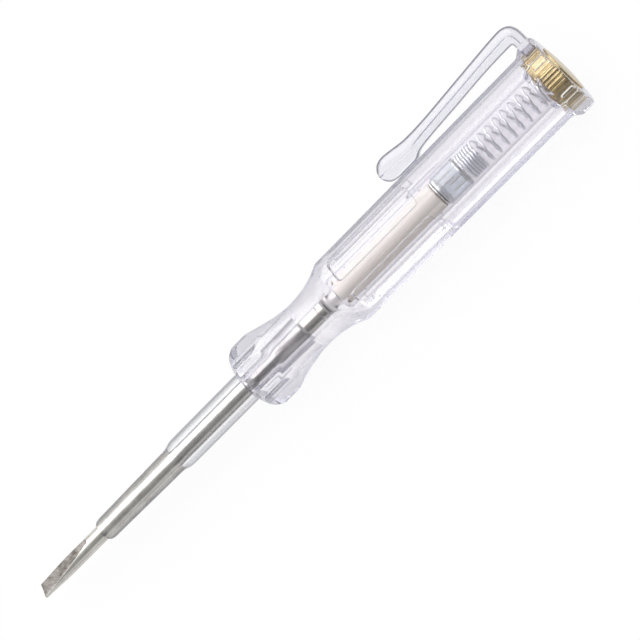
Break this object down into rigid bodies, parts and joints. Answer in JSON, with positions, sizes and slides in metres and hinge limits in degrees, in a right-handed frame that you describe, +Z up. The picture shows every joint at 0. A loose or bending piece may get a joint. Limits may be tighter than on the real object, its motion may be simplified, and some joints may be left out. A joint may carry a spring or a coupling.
{
  "type": "voltage tester screwdriver",
  "caption": "Pen-shaped neon voltage tester: flat screwdriver blade in a clear sleeve, clear ribbed handle showing resistor, lamp and spring, brass touch cap, pocket clip.",
  "frame": {"origin": "middle of the whole object's box, on the surface it lies on: the lowest flat of the handle is z = 0", "axes": "+X along the pen's axis toward the brass cap, +Y toward the pocket clip, +Z up"},
  "size_m": [0.1394, 0.0206, 0.0145],
  "materials": {
    "plated_steel": "bright plated, ground at the blade",
    "sleeve_plastic": "clear moulded sleeve",
    "handle_plastic": "clear moulded plastic, glossy",
    "clip_plastic": "clear moulded plastic, glossy",
    "brass": "fluted and bright",
    "spring_wire": "drawn wire",
    "lamp_glass": "clear",
    "contact_metal": "plated",
    "electrode_metal": "plain",
    "resistor_ceramic": "lacquered carbon rod"
  },
  "bodies": {
    "barrel": {"handle": "handle_plastic", "insulating_sleeve": "sleeve_plastic", "blade_shaft": "plated_steel"},
    "clip": {"pocket_clip": "clip_plastic"},
    "cap": {"end_cap": "brass"},
    "spring": {"contact_spring": "spring_wire"},
    "lamp": {"lamp_glass": "lamp_glass", "lamp_front_contact": "contact_metal", "lamp_rear_contact": "contact_metal", "lamp_front_electrode": "electrode_metal", "lamp_rear_electrode": "electrode_metal"},
    "resistor": {"resistor_body": "resistor_ceramic", "resistor_front_contact": "contact_metal", "resistor_rear_contact": "contact_metal"}
  },
  "joints": [
    {"name": "clip_flex", "type": "hinge", "parent": "barrel", "child": "clip", "pos_m": [0.06742, 0.00458, 0.00725], "axis": [0, 0, -1], "range_deg": [0, 4], "stiffness_Nm_per_rad": 0.3},
    {"name": "cap_pull", "type": "slide", "parent": "barrel", "child": "cap", "axis": [1, 0, 0], "range_m": [0, 0.09]},
    {"name": "spring_out", "type": "slide", "parent": "barrel", "child": "spring", "axis": [1, 0, 0], "range_m": [0, 0.0855]},
    {"name": "lamp_out", "type": "slide", "parent": "barrel", "child": "lamp", "axis": [1, 0, 0], "range_m": [0, 0.081]},
    {"name": "resistor_out", "type": "slide", "parent": "barrel", "child": "resistor", "axis": [1, 0, 0], "range_m": [0, 0.0765]}
  ],
  "couplings": [
    {"joint": "spring_out", "follows": "cap_pull", "ratio": 0.95},
    {"joint": "lamp_out", "follows": "cap_pull", "ratio": 0.9},
    {"joint": "resistor_out", "follows": "cap_pull", "ratio": 0.85}
  ]
}
